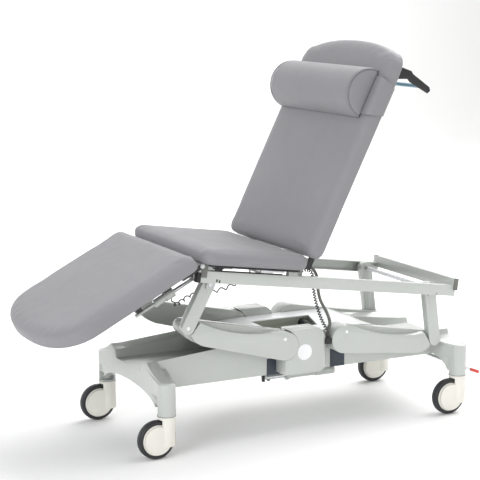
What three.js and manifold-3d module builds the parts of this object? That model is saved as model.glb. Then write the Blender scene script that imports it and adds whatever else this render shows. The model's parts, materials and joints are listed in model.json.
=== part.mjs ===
// Three-section treatment trolley: a wheeled chassis, two pairs of lifting arms, a tilting top
// frame and an upholstered seat, backrest and leg section. Millimetres, +Z up.
// +X runs from the foot end to the head end, -Y is the near side.
// Each assembly is drawn in its own axes and placed by a group.

import * as THREE from 'three';
import { mergeVertices } from 'three/addons/utils/BufferGeometryUtils.js';
import Module from 'manifold-3d';

const wasm = await Module();
wasm.setup();

// ---------------------------------------------------------------- driving dimensions

const DEG = Math.PI / 180;
const GAP = 0.3;                 // clearance between touching pieces
const CENTRE_X = -115.5;         // middle of the whole object along X, in the drawing's own axes

// chassis
const FOOT_STEM_X = -523;        // swivel axes of the castors
const HEAD_STEM_X = 598;
const STEM_Y = 247;
const LEG_RADIUS = 30;
const LEG_FOOT_Z = 137.6;
const SIDE_Y = 151;              // outer face of the chassis sides
const WALL_Y = 113;              // inner face of the trough
const CHASSIS_BOTTOM_Z = 196;
const FLOOR_Z = 249;
const FOOT_RIM_Z = 289;
const HEAD_RIM_Z = 280;
const RIM_MID_Z = 312;
const SHOULDER_Z = 246;          // top of the legs
const COVER_Z = 330;
const BRAKE_Z = 170;             // axis of the brake bar, across the head-end legs
const BRAKE_REACH = 262;

// castors
const WHEEL_RADIUS = 62.5;
const CASTOR_TRAIL = 37;
const HUB_RADIUS = 50;
const TYRE_HALF_WIDTH = 15;
const HUB_HALF_WIDTH = 17;
const COVER_RADIUS = 46;

// lifting arms and links
const FOOT_PIVOT = [-76, 306];
const HEAD_PIVOT = [150, 306];
const ARM_LENGTH = 370;
const ARM_EYE = 48;
const FOOT_ARM_ANGLE = 164.5;    // direction from the pivot to the knuckle, degrees from +X
const HEAD_ARM_ANGLE = -6.3;
const FOOT_LINK_LENGTH = 157;
const FOOT_LINK_ANGLE = 61.6;
const ARM_INNER_Y = 154;
const ARM_STEP_Y = 191;
const ARM_OUTER_Y = 222;
const LINK_INNER_Y = 193;
const LINK_RADIUS = 22;
const KNUCKLE_RADIUS = 25.5;
const FOOT_FOLD = 117;           // furthest angle between an arm and its link
const HEAD_FOLD = 126;
const SHAFT_RADIUS = 12;
const PIN_RADIUS = 9;

// top frame, in axes whose origin is the foot-end lifting pivot and whose X runs along the rails
const FRAME_TILT = 8;
const RAIL = { start: -46, end: 941, low: 7, high: 45, outer: 250, inner: 228, wall: 3 };
const ROLLER_U = 855;            // head-end rollers, in the rails
const ROLLER_V = 26;
const KNEE = [-49, 61];          // leg section hinge
const HIP = [336, 84];           // backrest hinge

// upholstery
const PAD_HALF_WIDTH = 300;
const PAD_ROUND = 22;            // rounding of the pads' top edges
const PAD_BOTTOM_ROUND = 8;
const SEAT_BOTTOM_ROUND = 21;    // clears the knee ears and the folded back frame
const SEAT = { start: -62, end: 324, low: 68.3, high: 124 };
const BOARD = 6;
const LEG_PLACE = [-65.7, 56.7];
const LEG_SLOPE = 35.3;
const LEG_LENGTH = 536;
const LEG_HIGH = 64;
const BACK_PLACE = [360.4, 96];
const BACK_SLOPE = 71.6;
const BACK_LENGTH = 774;
const BACK_SHOULDER = 716;
const BACK_HIGH = 66;
const BOLSTER = { along: 575, radius: 86, halfLength: 268 };

// actuators: a rod with a cross pin that rides in an open slot
const LEVER_ROOT = 8;             // half width of each lever next to its pivot
const LIFT_CRANK = 140;
const LIFT_CRANK_LEAN = 4;
const LIFT_ROD_Y = -78;
const BACK_CRANK = 50;
const BACK_CRANK_ANGLE = -55;
const BACK_PIN_SHIFT = 33.9;
const BACK_ROD_Y = 30;
const LEG_CRANK = 50;
const LEG_CRANK_ANGLE = -65;
const LEG_PIN_SHIFT = 9.3;
const LEG_ROD_Y = -176;
const LEG_TAIL_RADIUS = 6;
const LEG_MOTOR_RADIUS = 15.6;

// ---------------------------------------------------------------- materials

function paint(color, roughness, metalness = 0) {
  return new THREE.MeshStandardMaterial({ color, roughness, metalness });
}

const PEARL = paint(0xcdd1cc, 0.45);
const COVER_WHITE = paint(0xf1f2f4, 0.4);
const CASTOR_CREAM = paint(0xe9e7e0, 0.45);
const TYRE_GREY = paint(0x2e3034, 0.75);
const ANTHRACITE = paint(0x39424f, 0.5);
const BLACK_PLASTIC = paint(0x1d1e20, 0.55);
const BLACK_STEEL = paint(0x242528, 0.45, 0.3);
const BRIGHT_STEEL = paint(0xb9bcc0, 0.3, 0.9);
const RED_PLASTIC = paint(0xd4453b, 0.5);
const GREY_FABRIC = paint(0xa3a3a9, 0.8);
const CABLE_GREY = paint(0x8d8f88, 0.6);

// ---------------------------------------------------------------- shape helpers

function solid(geometry) {
  const bare = geometry.index ? geometry.toNonIndexed() : geometry.clone();
  bare.deleteAttribute('normal');
  bare.deleteAttribute('uv');
  const merged = mergeVertices(bare, 1e-4);
  const vertProperties = new Float32Array(merged.attributes.position.array);
  const triVerts = new Uint32Array(merged.index.array);
  return new wasm.Manifold(new wasm.Mesh({ numProp: 3, vertProperties, triVerts }));
}

function geometryOf(body) {
  const mesh = body.getMesh();
  const geometry = new THREE.BufferGeometry();
  geometry.setAttribute('position', new THREE.BufferAttribute(mesh.vertProperties, 3));
  geometry.setIndex(new THREE.BufferAttribute(mesh.triVerts, 1));
  geometry.computeVertexNormals();
  return geometry;
}

function join(...geometries) {
  let whole = solid(geometries[0]);
  for (const next of geometries.slice(1)) {
    whole = whole.add(solid(next));
  }
  return geometryOf(whole);
}

function cut(geometry, ...tools) {
  let rest = solid(geometry);
  for (const tool of tools) {
    rest = rest.subtract(solid(tool));
  }
  return geometryOf(rest);
}

function box(x0, x1, y0, y1, z0, z1) {
  const geometry = new THREE.BoxGeometry(x1 - x0, y1 - y0, z1 - z0);
  return geometry.translate((x0 + x1) / 2, (y0 + y1) / 2, (z0 + z1) / 2);
}

function outline(points) {
  return new THREE.Shape(points.map(([x, y]) => new THREE.Vector2(x, y)));
}

function extruded(shape, depth, curveSegments = 10) {
  return new THREE.ExtrudeGeometry(shape, { depth, bevelEnabled: false, curveSegments });
}

// an XZ outline drawn out along Y
function prismXZ(shape, y0, y1, curveSegments) {
  const geometry = extruded(shape, y1 - y0, curveSegments);
  return geometry.rotateX(Math.PI / 2).translate(0, y1, 0);
}

// a YZ outline drawn out along X
function prismYZ(shape, x0, x1, curveSegments) {
  const turn = new THREE.Matrix4().makeBasis(
    new THREE.Vector3(0, 1, 0),
    new THREE.Vector3(0, 0, 1),
    new THREE.Vector3(1, 0, 0),
  );
  return extruded(shape, x1 - x0, curveSegments).applyMatrix4(turn).translate(x0, 0, 0);
}

function cylinderY(radius, y0, y1, x, z, sides = 20) {
  const geometry = new THREE.CylinderGeometry(radius, radius, y1 - y0, sides);
  return geometry.translate(x, (y0 + y1) / 2, z);
}

function cylinderZ(radius, z0, z1, x, y, sides = 24) {
  const geometry = new THREE.CylinderGeometry(radius, radius, z1 - z0, sides);
  return geometry.rotateX(Math.PI / 2).translate(x, y, (z0 + z1) / 2);
}

function cylinderX(radius, x0, x1, y, z, sides = 20) {
  const geometry = new THREE.CylinderGeometry(radius, radius, x1 - x0, sides);
  return geometry.rotateZ(Math.PI / 2).translate((x0 + x1) / 2, y, z);
}

// a flat slab: the outline in XY, thick along Z, all its edges rounded
function slab(shape, z0, z1, round, curveSegments) {
  const geometry = new THREE.ExtrudeGeometry(shape, {
    depth: z1 - z0 - 2 * round,
    bevelThickness: round,
    bevelSize: round,
    bevelOffset: -round,
    bevelSegments: 3,
    curveSegments,
  });
  return geometry.translate(0, 0, z0 + round);
}

// an upholstered pad: its top edges are well rounded, and its bottom edges are tighter
function pad(shape, z0, z1, bottomRound) {
  const overlap = z0 + PAD_ROUND + bottomRound + 3;
  return join(slab(shape, z0, z1, PAD_ROUND, 5), slab(shape, z0, overlap, bottomRound, 5));
}

function tube(points, radius, steps, sides) {
  const path = new THREE.CatmullRomCurve3(points.map((p) => new THREE.Vector3(...p)));
  const section = new THREE.Shape();
  section.absarc(0, 0, radius, 0, 2 * Math.PI);
  return new THREE.ExtrudeGeometry(section, {
    steps,
    extrudePath: path,
    curveSegments: sides / 2,
    bevelEnabled: false,
  });
}

function mesh(name, geometry, material) {
  const piece = new THREE.Mesh(geometry, material);
  piece.name = name;
  return piece;
}

function polar([x, z], length, degrees) {
  return [x + length * Math.cos(degrees * DEG), z + length * Math.sin(degrees * DEG)];
}

const SIDES = [['near', -1], ['far', 1]];

// the same span on the near (-1) or far (+1) side
function span(side, a, b) {
  return side < 0 ? [-b, -a] : [a, b];
}

// ---------------------------------------------------------------- chassis

function chassisSection(rim) {
  const half = [
    [SIDE_Y, CHASSIS_BOTTOM_Z],
    [SIDE_Y, rim],
    [WALL_Y, rim - 12],
    [WALL_Y - 9, FLOOR_Z],
  ];
  const hollow = [
    [WALL_Y - 6, FLOOR_Z - 6],
    [WALL_Y + 5, rim - 16],
    [SIDE_Y - 4, rim - 5],
    [SIDE_Y - 4, CHASSIS_BOTTOM_Z],
  ];
  const mirrored = (points) => points.map(([y, z]) => [-y, z]).reverse();
  return [...half, ...mirrored(half), ...mirrored(hollow), ...hollow];
}

// a closed solid through matching YZ sections at several stations along X
function loft(stations) {
  const count = stations[0].points.length;
  const positions = stations.flatMap(({ x, points }) => points.flatMap(([y, z]) => [x, y, z]));
  const index = [];
  for (let s = 0; s + 1 < stations.length; s += 1) {
    for (let i = 0; i < count; i += 1) {
      const a = s * count + i;
      const b = s * count + ((i + 1) % count);
      index.push(a, b, a + count, b, b + count, a + count);
    }
  }
  const capPoints = stations[0].points.map(([y, z]) => new THREE.Vector2(y, z));
  const last = (stations.length - 1) * count;
  for (const [a, b, c] of THREE.ShapeUtils.triangulateShape(capPoints, [])) {
    index.push(a, c, b);
    index.push(last + a, last + b, last + c);
  }
  const geometry = new THREE.BufferGeometry();
  geometry.setAttribute('position', new THREE.Float32BufferAttribute(positions, 3));
  geometry.setIndex(index);
  return geometry;
}

// the plate across one end, with an arch below and a shoulder at each side
function endPlate(rim, dip) {
  const shoulder = STEM_Y + 15;
  const shape = new THREE.Shape();
  shape.moveTo(-shoulder, 150);
  shape.lineTo(-shoulder, SHOULDER_Z);
  shape.quadraticCurveTo(-dip[0], dip[1], -SIDE_Y, rim);
  shape.lineTo(-WALL_Y, rim - 12);
  shape.lineTo(-WALL_Y + 9, FLOOR_Z);
  shape.lineTo(WALL_Y - 9, FLOOR_Z);
  shape.lineTo(WALL_Y, rim - 12);
  shape.lineTo(SIDE_Y, rim);
  shape.quadraticCurveTo(dip[0], dip[1], shoulder, SHOULDER_Z);
  shape.lineTo(shoulder, 150);
  shape.lineTo(222, 150);
  shape.quadraticCurveTo(195, 198, 0, 200);
  shape.quadraticCurveTo(-195, 198, -222, 150);
  return shape;
}

// a leg with its domed top, and the flare that joins it to the chassis side between x0 and x1
function leg(x, side, x0, x1, height) {
  const lower = cylinderZ(LEG_RADIUS, LEG_FOOT_Z, SHOULDER_Z - 4, x, side * STEM_Y);
  const dome = new THREE.CylinderGeometry(25, LEG_RADIUS, 5, 24).rotateX(Math.PI / 2);
  dome.translate(x, side * STEM_Y, SHOULDER_Z - 1.6);
  const top = cylinderZ(LEG_RADIUS, 200, SHOULDER_Z - 4, x, side * STEM_Y);
  const root = box(x0, x1, ...span(side, SIDE_Y - 3, SIDE_Y), 200, height);
  const flare = wasm.Manifold.hull([solid(top), solid(root), solid(dome)]);
  return join(lower, dome, geometryOf(flare));
}

function chassis() {
  const stations = [
    { x: -512, points: chassisSection(FOOT_RIM_Z) },
    { x: -250, points: chassisSection(RIM_MID_Z) },
    { x: 330, points: chassisSection(RIM_MID_Z) },
    { x: 590, points: chassisSection(HEAD_RIM_Z) },
  ];
  const footPlate = prismYZ(endPlate(FOOT_RIM_Z, [205, 256]), -548, -511, 6);
  const headPlate = prismYZ(endPlate(HEAD_RIM_Z, [155, 234]), 572, 620, 6);
  let whole = join(loft(stations), footPlate, headPlate);
  const windows = [];
  const bolts = [];
  for (const [, side] of SIDES) {
    whole = join(whole, leg(FOOT_STEM_X, side, -548, -482, 264));
    whole = join(whole, leg(HEAD_STEM_X, side, 545, 620, 250));
    windows.push(box(-560, FOOT_STEM_X + 16, ...span(side, 214, 244), 141, 172));
    bolts.push(cylinderY(8, ...span(side, 224, 250), FOOT_STEM_X - 8, 156, 6));
  }
  const shaftRoom = [FOOT_PIVOT, HEAD_PIVOT].map(([x, z]) => cylinderY(14, -230, 230, x, z));
  const crankSlot = box(-150, 10, LIFT_ROD_Y + 8, LIFT_ROD_Y + 26, 230, 260);
  const brakeBore = cylinderY(8, -BRAKE_REACH - 2, BRAKE_REACH + 2, HEAD_STEM_X, BRAKE_Z, 6);
  const leverSlot = box(HEAD_STEM_X - 10, 640, -264, -252, 138, 176);
  return join(cut(whole, ...shaftRoom, crankSlot, brakeBore, leverSlot, ...windows), ...bolts);
}

function topCover() {
  const profile = outline([
    [-250, RIM_MID_Z + GAP],
    [-250, 317],
    [-140, 327],
    [-60, COVER_Z],
    [200, COVER_Z],
    [300, 327],
    [330, 317],
    [330, RIM_MID_Z + GAP],
  ]);
  const shell = prismXZ(profile, -SIDE_Y, SIDE_Y);
  const inside = outline([
    [-246, 300], [-246, 313], [-140, 321], [200, 321], [326, 313], [326, 300],
  ]);
  const hollow = prismXZ(inside, -SIDE_Y + 6, SIDE_Y - 6);
  const tray = extruded(outline([[-59, -80], [131, -80], [182, 77], [-59, 77]]), 37);
  const pocket = extruded(outline([[-55, -76], [128, -76], [176, 73], [-55, 73]]), 48);
  tray.translate(0, 0, 288);
  pocket.translate(0, 0, 292);
  const shaftRoom = [FOOT_PIVOT, HEAD_PIVOT].map(([x, z]) => cylinderY(14, -230, 230, x, z));
  return cut(join(cut(shell, hollow), tray), pocket, ...shaftRoom);
}

function fairingPlan(side, grow) {
  const face = side * (ARM_OUTER_Y - 1 + grow);
  const back = side * (SIDE_Y + GAP);
  const plan = new THREE.Shape();
  plan.moveTo(FOOT_PIVOT[0], back);
  plan.lineTo(FOOT_PIVOT[0], face);
  plan.lineTo(52, face);
  plan.quadraticCurveTo(92 + grow, face, 92 + grow, face - side * 40);
  plan.lineTo(92 + grow, back);
  return plan;
}

// the fairing between the two arms of one side, rounded towards the head end
function sideFairing(side) {
  const [y0, y1] = span(side, SIDE_Y + GAP, ARM_OUTER_Y - 1);
  const block = extruded(fairingPlan(side, 0), 357 - 206, 8).translate(0, 0, 206);
  const chamfer = prismXZ(outline([[30, 200], [100, 200], [100, 232], [70, 212]]), y0 - 1, y1 + 1);
  const eyes = [FOOT_PIVOT, HEAD_PIVOT].map(([x, z]) => {
    return cylinderY(ARM_EYE + 1, y0 - 2, y1 + 2, x, z, 40);
  });
  const raisedArm = outline([
    polar(FOOT_PIVOT, ARM_EYE + 2, 50),
    polar(polar(FOOT_PIVOT, ARM_EYE + 2, 50), 120, 142),
    [-140, 300],
    [-76, 300],
  ]);
  const armRoom = prismXZ(raisedArm, y0 - 2, y1 + 2);
  const shoulder = new THREE.Shape();
  shoulder.moveTo(46, 358);
  shoulder.quadraticCurveTo(72, 348, 92, 300);
  shoulder.lineTo(110, 300);
  shoulder.lineTo(110, 370);
  shoulder.lineTo(46, 370);
  const cableRoom = prismXZ(shoulder, y0 - 2, y1 + 2, 6);
  const [p0, p1] = span(side, SIDE_Y, SIDE_Y + 3);
  const plateRoom = box(-110, FOOT_PIVOT[0] + 30 + GAP, p0, p1, 190, 252 + GAP);
  return cut(block, chamfer, ...eyes, armRoom, plateRoom, cableRoom);
}

function pivotPlate(x0, x1, top, side) {
  return box(x0, x1, ...span(side, SIDE_Y + GAP, SIDE_Y + 2.6), CHASSIS_BOTTOM_Z, top);
}

function liftActuator() {
  const tubeBody = cylinderX(13, 2, 130, LIFT_ROD_Y, 166);
  const collar = cylinderX(17, 2, 12, LIFT_ROD_Y, 166);
  const motor = cylinderX(16, 118, 190, LIFT_ROD_Y, 166);
  const hanger = box(146, 176, LIFT_ROD_Y - 12, LIFT_ROD_Y + 12, 178, FLOOR_Z - 6 - GAP);
  const bore = cylinderX(8.3, -2, 150, LIFT_ROD_Y, 166);
  return cut(join(tubeBody, collar, motor, hanger), bore);
}

// the gland that both cables to the top frame go into, in the notch beside the near head arm
function cableGland() {
  const block = box(78, 101.3, -221, -190, 296, 316);
  return cut(block, extruded(fairingPlan(-1, GAP), 200, 8).translate(0, 0, 200));
}

function addChassis(group) {
  group.add(mesh('chassis', chassis(), PEARL));
  group.add(mesh('top_cover', topCover(), COVER_WHITE));
  for (const [word, side] of SIDES) {
    group.add(mesh(`fairing_${word}`, sideFairing(side), PEARL));
    group.add(mesh(`foot_pivot_plate_${word}`, pivotPlate(-110, -46, 252, side), ANTHRACITE));
    group.add(mesh(`head_pivot_plate_${word}`, pivotPlate(135, 191, 262, side), ANTHRACITE));
  }
  const disc = cylinderY(27, -ARM_OUTER_Y + 1 - 1.3, -ARM_OUTER_Y + 1 - GAP, -4, 279, 28);
  group.add(mesh('badge_disc', disc, COVER_WHITE));
  group.add(mesh('lift_actuator', liftActuator(), PEARL));
  group.add(mesh('cable_gland', cableGland(), BLACK_PLASTIC));
}

// ---------------------------------------------------------------- castors and brake

// a stem column that runs into a cover disc on each side of the wheel
function castorHousing() {
  const column = cylinderZ(29.5, 40, 137.3, 0, 0);
  const covers = SIDES.map(([, side]) => {
    return cylinderY(COVER_RADIUS, ...span(side, 18.5, 23), -CASTOR_TRAIL, WHEEL_RADIUS, 36);
  });
  const webs = SIDES.map(([, side]) => box(-CASTOR_TRAIL, 0, ...span(side, 18.5, 23), 62, 102));
  const crown = box(-24, 20, -20, 20, 127.2, 136);
  const wheelRoom = cylinderY(WHEEL_RADIUS + 3, -18.4, 18.4, -CASTOR_TRAIL, WHEEL_RADIUS, 40);
  const bore = cylinderY(6.4, -20.5, 20.5, -CASTOR_TRAIL, WHEEL_RADIUS, 16);
  return cut(join(column, ...covers, ...webs, crown), wheelRoom, bore);
}

function ring(inner, outer, halfWidth, round, sides) {
  const profile = [
    [inner, -halfWidth],
    [outer - round, -halfWidth],
    [outer, -halfWidth + round],
    [outer, halfWidth - round],
    [outer - round, halfWidth],
    [inner, halfWidth],
    [inner, -halfWidth],
  ];
  return new THREE.LatheGeometry(profile.map(([r, y]) => new THREE.Vector2(r, y)), sides);
}

const WHEEL_SIDES = 36;

// radii are set to the flats, so that a flat of the tyre lies on the floor
function tyre() {
  const flat = Math.cos(Math.PI / WHEEL_SIDES);
  const geometry = ring(HUB_RADIUS / flat, WHEEL_RADIUS / flat, TYRE_HALF_WIDTH, 4, WHEEL_SIDES);
  return geometry.rotateY(Math.PI / WHEEL_SIDES).translate(-CASTOR_TRAIL, 0, WHEEL_RADIUS);
}

function hub() {
  const disc = cylinderY(HUB_RADIUS - 0.4, -14, 14, 0, 0, WHEEL_SIDES);
  const face = cylinderY(HUB_RADIUS - 6, -HUB_HALF_WIDTH, HUB_HALF_WIDTH, 0, 0, WHEEL_SIDES);
  const axle = cylinderY(6, -20.2, 20.2, 0, 0, 12);
  return join(disc, face, axle).translate(-CASTOR_TRAIL, 0, WHEEL_RADIUS);
}

function addCastors(group) {
  for (const [end, x] of [['foot', FOOT_STEM_X], ['head', HEAD_STEM_X]]) {
    for (const [word, side] of SIDES) {
      const castor = new THREE.Group();
      castor.position.set(x, side * STEM_Y, 0);
      castor.add(mesh(`castor_housing_${end}_${word}`, castorHousing(), CASTOR_CREAM));
      castor.add(mesh(`tyre_${end}_${word}`, tyre(), TYRE_GREY));
      castor.add(mesh(`hub_${end}_${word}`, hub(), CASTOR_CREAM));
      group.add(castor);
    }
  }
}

// the bar turns the brake cams of both head-end castors; its lever comes out of the near leg
function addBrake(group) {
  const place = (geometry) => geometry.rotateY(21.5 * DEG).translate(HEAD_STEM_X, 0, BRAKE_Z);
  const bar = cylinderY(6.5, -BRAKE_REACH, BRAKE_REACH, 0, 0, 6);
  const lever = box(0, 50, -261, -255, -4.5, 4.5);
  group.add(mesh('brake_bar', place(join(bar, lever)), BRIGHT_STEEL));
  group.add(mesh('brake_pedal', place(box(50.3, 88, -264, -252, -5.5, 5.5)), RED_PLASTIC));
}

// ---------------------------------------------------------------- lifting arms and links

// outlines run along the arm from its pivot (0, 0) to its knuckle (ARM_LENGTH, 0)
function armFace() {
  const shape = new THREE.Shape();
  shape.moveTo(0, ARM_EYE);
  shape.absarc(0, 0, ARM_EYE, 90 * DEG, 270 * DEG, false);
  shape.lineTo(300, -ARM_EYE);
  shape.quadraticCurveTo(340, -44, 352, -20);
  shape.lineTo(352, 24);
  shape.quadraticCurveTo(330, 26, 300, 19);
  shape.quadraticCurveTo(190, 3, 80, 31);
  shape.quadraticCurveTo(40, 44, 0, ARM_EYE);
  return shape;
}

function armBack() {
  const shape = new THREE.Shape();
  shape.moveTo(0, ARM_EYE);
  shape.absarc(0, 0, ARM_EYE, 90 * DEG, 270 * DEG, false);
  shape.lineTo(300, -ARM_EYE);
  shape.quadraticCurveTo(340, -44, ARM_LENGTH, -24);
  shape.absarc(ARM_LENGTH, 0, 24, -90 * DEG, 90 * DEG, false);
  shape.lineTo(200, 34);
  shape.lineTo(0, ARM_EYE);
  return shape;
}

// the room on the arm's outer face that its link sweeps, up to the furthest fold
function linkRoom(fold) {
  const reach = LINK_RADIUS + 2;
  const edge = polar([ARM_LENGTH, 0], reach, fold + 90);
  const end = polar(edge, 80, fold);
  return outline([edge, end, [ARM_LENGTH + 50, end[1]], [ARM_LENGTH + 50, -5], [ARM_LENGTH, -5]]);
}

// turns an outline drawn along +X so that it runs from a pivot at an angle; a mirrored one keeps its top up
function along(geometry, [x, z], degrees) {
  const mirrored = Math.abs(degrees) > 90;
  if (mirrored) {
    geometry.rotateZ(Math.PI);
    degrees -= 180;
  }
  return geometry.rotateY(-degrees * DEG).translate(x, 0, z);
}

function arm(side, fold) {
  const faceSpan = span(side, ARM_STEP_Y, ARM_OUTER_Y);
  const knuckle = cylinderY(KNUCKLE_RADIUS, -230, 230, ARM_LENGTH, 0, 40);
  const sweep = prismXZ(linkRoom(fold), -230, 230);
  const face = cut(prismXZ(armFace(), ...faceSpan), knuckle, sweep);
  const back = prismXZ(armBack(), ...span(side, ARM_INNER_Y, ARM_STEP_Y + 0.5));
  const screw = cylinderY(5, ...span(side, ARM_OUTER_Y - 4, ARM_OUTER_Y + 1.5), 5, 25, 12);
  const shaftBore = cylinderY(SHAFT_RADIUS + GAP, ...span(side, 100, 212), 0, 0, 24);
  const pinBore = cylinderY(PIN_RADIUS + GAP, ...span(side, 167, 200), ARM_LENGTH, 0, 16);
  return cut(join(face, back, screw), shaftBore, pinBore);
}

function linkShape(length) {
  const shape = new THREE.Shape();
  shape.absarc(0, 0, LINK_RADIUS, 90 * DEG, 270 * DEG, false);
  shape.absarc(length, 0, LINK_RADIUS, -90 * DEG, 90 * DEG, false);
  return shape;
}

function link(side, length, topBore, footBore) {
  const plate = prismXZ(linkShape(length), ...span(side, LINK_INNER_Y, ARM_OUTER_Y), 8);
  const top = cylinderY(topBore, -240, 240, length, 0, 16);
  if (footBore) {
    return cut(plate, top, cylinderY(footBore, ...span(side, 180, 216), 0, 0, 16));
  }
  const pin = cylinderY(PIN_RADIUS, ...span(side, 168, LINK_INNER_Y + 4), 0, 0, 16);
  return join(cut(plate, top), pin);
}

const FOOT_KNUCKLE = polar(FOOT_PIVOT, ARM_LENGTH, FOOT_ARM_ANGLE);
const HEAD_KNUCKLE = polar(HEAD_PIVOT, ARM_LENGTH, HEAD_ARM_ANGLE);
const FRAME_PIVOT = polar(FOOT_KNUCKLE, FOOT_LINK_LENGTH, FOOT_LINK_ANGLE);
const ROLLER = polar(
  polar(FRAME_PIVOT, ROLLER_U, -FRAME_TILT),
  ROLLER_V,
  90 - FRAME_TILT,
);
const HEAD_LINK_LENGTH = Math.hypot(ROLLER[0] - HEAD_KNUCKLE[0], ROLLER[1] - HEAD_KNUCKLE[1]);
const HEAD_LINK_ANGLE = Math.atan2(ROLLER[1] - HEAD_KNUCKLE[1], ROLLER[0] - HEAD_KNUCKLE[0]) / DEG;

// a lever with a slot open at its end, pointing along +X before it is placed
function slottedLever(reach, slotStart, slotWidth, halfWidth, y0, y1) {
  const root = box(0, slotStart, y0, y1, -LEVER_ROOT, LEVER_ROOT);
  const fork = box(slotStart - 5, reach, y0, y1, -halfWidth, halfWidth);
  const slot = box(slotStart, reach + 10, y0 - 1, y1 + 1, -slotWidth / 2, slotWidth / 2);
  return cut(join(root, fork), slot);
}

function addLift(group) {
  for (const [word, side] of SIDES) {
    const mirror = -side;
    const footArm = along(arm(mirror, FOOT_FOLD), FOOT_PIVOT, FOOT_ARM_ANGLE);
    group.add(mesh(`foot_arm_${word}`, footArm, PEARL));
    group.add(mesh(`head_arm_${word}`, along(arm(side, HEAD_FOLD), HEAD_PIVOT, HEAD_ARM_ANGLE), PEARL));
    const footLink = link(side, FOOT_LINK_LENGTH, 8 + GAP, 0);
    group.add(mesh(`foot_link_${word}`, along(footLink, FOOT_KNUCKLE, FOOT_LINK_ANGLE), PEARL));
    const headLink = link(side, HEAD_LINK_LENGTH, 7 + GAP, PIN_RADIUS + GAP);
    const standing = headLink.rotateY(-HEAD_LINK_ANGLE * DEG);
    standing.translate(HEAD_KNUCKLE[0], 0, HEAD_KNUCKLE[1]);
    group.add(mesh(`head_link_${word}`, standing, PEARL));
    const pin = cylinderY(PIN_RADIUS, ...span(side, 168, 215), ...HEAD_KNUCKLE, 16);
    group.add(mesh(`head_pin_${word}`, pin, BRIGHT_STEEL));
  }
  const crank = slottedLever(158, 128, 11.6, 14, LIFT_ROD_Y + 12, LIFT_ROD_Y + 22);
  crank.rotateY((90 - LIFT_CRANK_LEAN) * DEG).translate(FOOT_PIVOT[0], 0, FOOT_PIVOT[1]);
  const footShaft = cylinderY(SHAFT_RADIUS, -211, 211, ...FOOT_PIVOT, 20);
  group.add(mesh('foot_shaft', join(footShaft, crank), BLACK_STEEL));
  group.add(mesh('head_shaft', cylinderY(SHAFT_RADIUS, -211, 211, ...HEAD_PIVOT, 20), BLACK_STEEL));
  const linkShaft = cylinderY(8, -232, 232, ...FRAME_PIVOT, 16);
  group.add(mesh('link_shaft', linkShaft, BRIGHT_STEEL));
  const rollers = SIDES.map(([, side]) => cylinderY(11, ...span(side, 230, 244), ...ROLLER, 20));
  group.add(mesh('roller_shaft', join(cylinderY(7, -243, 243, ...ROLLER, 16), ...rollers), BRIGHT_STEEL));

  const pinX = FOOT_PIVOT[0] + LIFT_CRANK * Math.tan(LIFT_CRANK_LEAN * DEG);
  const rodZ = FOOT_PIVOT[1] - LIFT_CRANK;
  const rod = cylinderX(8, pinX - 8, 100, LIFT_ROD_Y, rodZ);
  const crossPin = cylinderY(4, LIFT_ROD_Y, LIFT_ROD_Y + 25, pinX, rodZ, 12);
  group.add(mesh('lift_rod', join(rod, crossPin), BRIGHT_STEEL));
}

// ---------------------------------------------------------------- top frame and seat

function rail(side) {
  const { start, end, low, high, outer, inner, wall } = RAIL;
  const whole = box(start, end, ...span(side, inner, outer), low, high);
  const channel = box(start - 1, end + 1, ...span(side, inner - 1, outer - wall), low + wall, high - wall);
  return cut(whole, channel);
}

function topFrame() {
  const crossbar = cut(
    box(925, 943, -258, 258, 29, 69),
    box(930, 944, -254, 254, 33, 65),
  );
  const footMember = cut(box(-46, -34, -229, 229, 8, 40), box(-60, -20, -196, -156, 0, 27));
  const hipMember = box(314, 358, -229, 229, 7, 13);
  const pieces = [crossbar, footMember, hipMember];
  for (const [, side] of SIDES) {
    pieces.push(rail(side));
    pieces.push(box(RAIL.start, -30, ...span(side, 240, 250), 20, 60));
    pieces.push(box(KNEE[0] - 7.5, -34, ...span(side, 244, 250), 40, KNEE[1]));
    pieces.push(cylinderY(7.5, ...span(side, 244, 250), ...KNEE, 16));
    const hipEar = box(HIP[0] - 9, HIP[0] + 12, ...span(side, 200, 206), 8, HIP[1] + 12);
    pieces.push(hipEar);
    pieces.push(box(-12, 16, ...span(side, 224.5, 230), -14, 24));
    pieces.push(box(-28, 0, ...span(side, 230, 248), 43, 61.7));
    pieces.push(box(272, 306, ...span(side, 230, 248), 43, 61.7));
  }
  const legFork = slottedLever(64, 42, 9.8, 12, LEG_ROD_Y + 10, LEG_ROD_Y + 16);
  legFork.rotateY(-LEG_CRANK_ANGLE * DEG).translate(KNEE[0], 0, KNEE[1]);
  pieces.push(cut(legFork, box(-80, 0, -180, -150, 44, 90)));
  const whole = join(...pieces);
  const bores = [
    cylinderY(5.3, -260, 260, ...KNEE, 16),
    cylinderY(9.3, -216, 216, ...HIP, 16),
    cylinderY(8.3, -240, 240, 0, 0, 16),
  ];
  return cut(whole, ...bores);
}

function railCap(side) {
  return box(RAIL.start - 14, RAIL.start - GAP, ...span(side, 227, 250.3), 6.5, 39.5);
}

function roundedRectangle(x0, x1, y0, y1, radius) {
  const shape = new THREE.Shape();
  shape.moveTo(x0 + radius, y0);
  shape.absarc(x1 - radius, y0 + radius, radius, -90 * DEG, 0, false);
  shape.absarc(x1 - radius, y1 - radius, radius, 0, 90 * DEG, false);
  shape.absarc(x0 + radius, y1 - radius, radius, 90 * DEG, 180 * DEG, false);
  shape.absarc(x0 + radius, y0 + radius, radius, 180 * DEG, 270 * DEG, false);
  return shape;
}

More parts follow.
